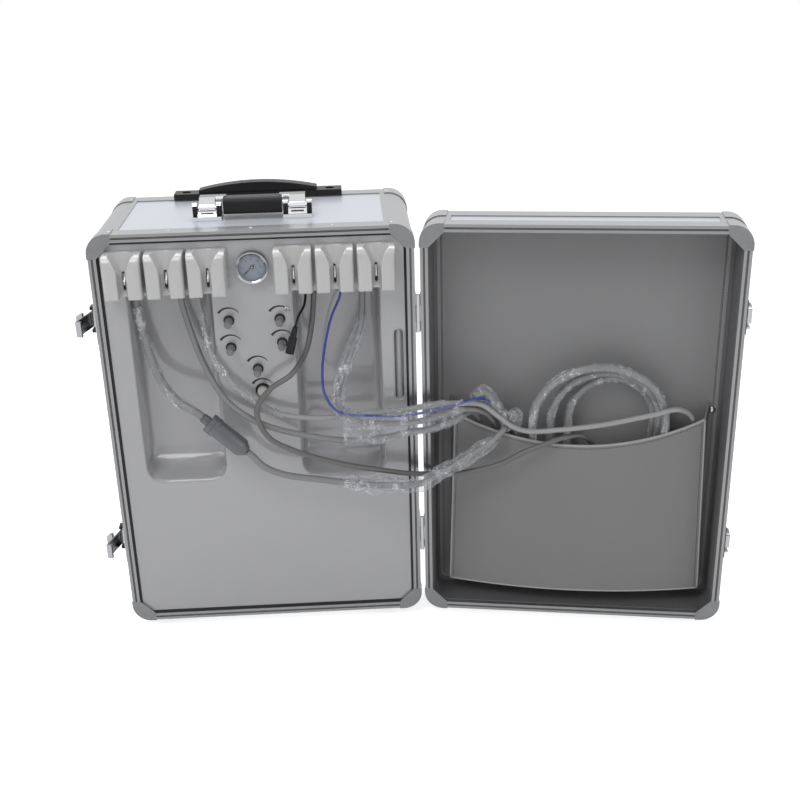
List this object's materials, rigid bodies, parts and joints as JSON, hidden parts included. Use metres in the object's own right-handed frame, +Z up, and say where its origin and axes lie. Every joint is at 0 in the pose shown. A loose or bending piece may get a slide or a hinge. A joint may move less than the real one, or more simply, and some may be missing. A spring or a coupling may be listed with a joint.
{
  "type": "portable dental unit",
  "caption": "Portable dental unit in an upright aluminium case: open lid with hose pocket, holder row, gauge and valve panel, hoses, latches, wheels and pull-out handle.",
  "frame": {"origin": "on the floor, under the middle of the whole outline with the lid open", "axes": "+X from the latches to the free edge of the open lid, +Y to the back of the case, +Z up"},
  "size_m": [0.8407, 0.2741, 0.587],
  "materials": {
    "laminate": "board with a satin, pale blue-grey laminate",
    "extrusion": "satin anodised, grooved",
    "corner_steel": "bright pressed steel",
    "foot_rubber": "matt",
    "front_white": "gloss",
    "holder_white": "gloss",
    "gauge_rim": "bright, pale blue dial inside",
    "gauge_glass": "clear",
    "needle_black": "matt",
    "valve_metal": "machined",
    "knob_grey": "fine grain",
    "black_plastic": "fine grain",
    "button_beige": "fine grain",
    "level_clear": "clear tube",
    "lever_steel": "brushed",
    "cast_grey": "painted grey",
    "tank_steel": "satin",
    "bottle_plastic": "translucent",
    "wheel_black": "matt",
    "fitting_chrome": "bright plated",
    "leatherette": "grained grey leatherette",
    "hose_grey": "satin",
    "hose_blue": "gloss",
    "cable_black": "satin"
  },
  "bodies": {
    "case": {"case_panels": "laminate", "case_frame": "extrusion", "case_corner_caps": "corner_steel", "case_rivets": "corner_steel", "rubber_feet": "foot_rubber", "front_panel": "front_white", "left_holders": "holder_white", "right_holders": "holder_white", "gauge_case": "gauge_rim", "gauge_lens": "gauge_glass", "valve_block": "valve_metal", "mains_fittings": "black_plastic", "level_tube": "level_clear", "compressor": "cast_grey", "air_tank": "tank_steel", "bottles": "bottle_plastic", "handle_brackets": "black_plastic", "trolley_base": "black_plastic", "wheel_housings": "black_plastic", "case_hinge_leaves": "fitting_chrome", "latch_bases": "black_plastic", "suction_hose_upper": "hose_grey", "suction_strainer": "knob_grey", "suction_hose_lower": "hose_grey", "instrument_hoses": "hose_grey", "syringe_hose": "hose_grey", "lamp_cable": "cable_black", "lamp_plug": "cable_black", "blue_tube": "hose_blue"},
    "lid": {"lid_panels": "laminate", "lid_frame": "extrusion", "lid_corner_caps": "corner_steel", "lid_hinge_leaves": "fitting_chrome", "lid_keepers": "fitting_chrome", "lid_lining": "leatherette", "lid_pocket": "leatherette", "hose_loops": "hose_grey", "hose_couplings": "fitting_chrome"},
    "needle": {"gauge_needle": "needle_black"},
    "carry_grip": {"carry_handle": "black_plastic"},
    "trolley": {"trolley_handle": "black_plastic"},
    "trolley_release": {"trolley_button": "black_plastic"},
    "switch": {"power_button": "button_beige"},
    "wheel_l": {"wheel_left": "wheel_black"},
    "wheel_r": {"wheel_right": "wheel_black"},
    "hook_lower": {"latch_hook_lower": "fitting_chrome"},
    "hook_upper": {"latch_hook_upper": "fitting_chrome"},
    "wing_lower": {"latch_wing_lower": "fitting_chrome"},
    "wing_upper": {"latch_wing_upper": "fitting_chrome"},
    "water_knob_body": {"water_knob": "knob_grey"},
    "spray_knob_body": {"spray_knob": "knob_grey"},
    "air_knob_upper_body": {"air_knob_upper": "knob_grey"},
    "air_knob_lower_body": {"air_knob_lower": "knob_grey"},
    "bottle_knob_body": {"bottle_knob": "knob_grey"},
    "lever_1": {"holder_lever_1": "lever_steel"},
    "lever_2": {"holder_lever_2": "lever_steel"},
    "lever_3": {"holder_lever_3": "lever_steel"},
    "lever_4": {"holder_lever_4": "lever_steel"},
    "lever_5": {"holder_lever_5": "lever_steel"},
    "lever_6": {"holder_lever_6": "lever_steel"}
  },
  "joints": [
    {"name": "lid_hinge", "type": "hinge", "parent": "case", "child": "lid", "pos_m": [0.01184, -0.06895, 0.012], "axis": [0, 0, 1], "range_deg": [-170.25, 9.75], "deforming": ["suction_strainer", "suction_hose_upper", "suction_hose_lower", "instrument_hoses", "syringe_hose", "blue_tube"]},
    {"name": "gauge_spindle", "type": "hinge", "parent": "case", "child": "needle", "pos_m": [-0.19246, -0.07055, 0.5155], "axis": [0, 1, 0], "range_deg": [0, 270]},
    {"name": "water_knob_turn", "type": "hinge", "parent": "case", "child": "water_knob_body", "pos_m": [-0.22646, -0.07695, 0.446], "axis": [0, 1, 0], "range_deg": [0, 270]},
    {"name": "spray_knob_turn", "type": "hinge", "parent": "case", "child": "spray_knob_body", "pos_m": [-0.22646, -0.07695, 0.41], "axis": [0, 1, 0], "range_deg": [0, 270]},
    {"name": "air_knob_upper_turn", "type": "hinge", "parent": "case", "child": "air_knob_upper_body", "pos_m": [-0.16246, -0.07695, 0.446], "axis": [0, 1, 0], "range_deg": [0, 270]},
    {"name": "air_knob_lower_turn", "type": "hinge", "parent": "case", "child": "air_knob_lower_body", "pos_m": [-0.16146, -0.07695, 0.414], "axis": [0, 1, 0], "range_deg": [0, 270]},
    {"name": "bottle_knob_turn", "type": "hinge", "parent": "case", "child": "bottle_knob_body", "pos_m": [-0.19446, -0.07695, 0.38], "axis": [0, 1, 0], "range_deg": [0, 270]},
    {"name": "power_press", "type": "slide", "parent": "case", "child": "switch", "axis": [0, 1, 0], "range_m": [0, 0.003], "stiffness_N_per_m": 400, "springref_m": -0.002},
    {"name": "lever_1_swing", "type": "hinge", "parent": "case", "child": "lever_1", "pos_m": [-0.34846, -0.07095, 0.514], "axis": [1, 0, 0], "range_deg": [0, 10], "stiffness_Nm_per_rad": 0.01, "springref_deg": -11.46},
    {"name": "lever_2_swing", "type": "hinge", "parent": "case", "child": "lever_2", "pos_m": [-0.29746, -0.07095, 0.514], "axis": [1, 0, 0], "range_deg": [0, 10], "stiffness_Nm_per_rad": 0.01, "springref_deg": -11.46},
    {"name": "lever_3_swing", "type": "hinge", "parent": "case", "child": "lever_3", "pos_m": [-0.24646, -0.07095, 0.514], "axis": [1, 0, 0], "range_deg": [0, 10], "stiffness_Nm_per_rad": 0.01, "springref_deg": -11.46},
    {"name": "lever_4_swing", "type": "hinge", "parent": "case", "child": "lever_4", "pos_m": [-0.14146, -0.07095, 0.514], "axis": [1, 0, 0], "range_deg": [0, 10], "stiffness_Nm_per_rad": 0.01, "springref_deg": -11.46},
    {"name": "lever_5_swing", "type": "hinge", "parent": "case", "child": "lever_5", "pos_m": [-0.09046, -0.07095, 0.514], "axis": [1, 0, 0], "range_deg": [0, 10], "stiffness_Nm_per_rad": 0.01, "springref_deg": -11.46},
    {"name": "lever_6_swing", "type": "hinge", "parent": "case", "child": "lever_6", "pos_m": [-0.03946, -0.07095, 0.514], "axis": [1, 0, 0], "range_deg": [0, 10], "stiffness_Nm_per_rad": 0.01, "springref_deg": -11.46},
    {"name": "carry_swing", "type": "hinge", "parent": "case", "child": "carry_grip", "pos_m": [-0.19196, 0.00105, 0.575], "axis": [1, 0, 0], "range_deg": [0, 75]},
    {"name": "trolley_slide", "type": "slide", "parent": "case", "child": "trolley", "axis": [0, 0, 1], "range_m": [0, 0.38]},
    {"name": "trolley_press", "type": "slide", "parent": "trolley", "child": "trolley_release", "axis": [0, 0, -1], "range_m": [0, 0.003], "stiffness_N_per_m": 400, "springref_m": -0.002},
    {"name": "wheel_l_spin", "type": "hinge", "parent": "case", "child": "wheel_l", "pos_m": [-0.36946, 0.11205, 0.025], "axis": [1, 0, 0], "continuous": true},
    {"name": "wheel_r_spin", "type": "hinge", "parent": "case", "child": "wheel_r", "pos_m": [-0.01346, 0.11205, 0.025], "axis": [1, 0, 0], "continuous": true},
    {"name": "hook_lower_swing", "type": "hinge", "parent": "case", "child": "hook_lower", "pos_m": [-0.39896, -0.03895, 0.131], "axis": [0, 0, 1], "range_deg": [0, 16]},
    {"name": "wing_lower_turn", "type": "hinge", "parent": "hook_lower", "child": "wing_lower", "pos_m": [-0.40479, -0.056, 0.131], "axis": [-0.9613, 0.2756, 0], "range_deg": [0, 180]},
    {"name": "hook_upper_swing", "type": "hinge", "parent": "case", "child": "hook_upper", "pos_m": [-0.39896, -0.03895, 0.447], "axis": [0, 0, 1], "range_deg": [0, 16]},
    {"name": "wing_upper_turn", "type": "hinge", "parent": "hook_upper", "child": "wing_upper", "pos_m": [-0.40479, -0.056, 0.447], "axis": [-0.9613, 0.2756, 0], "range_deg": [0, 180]}
  ]
}
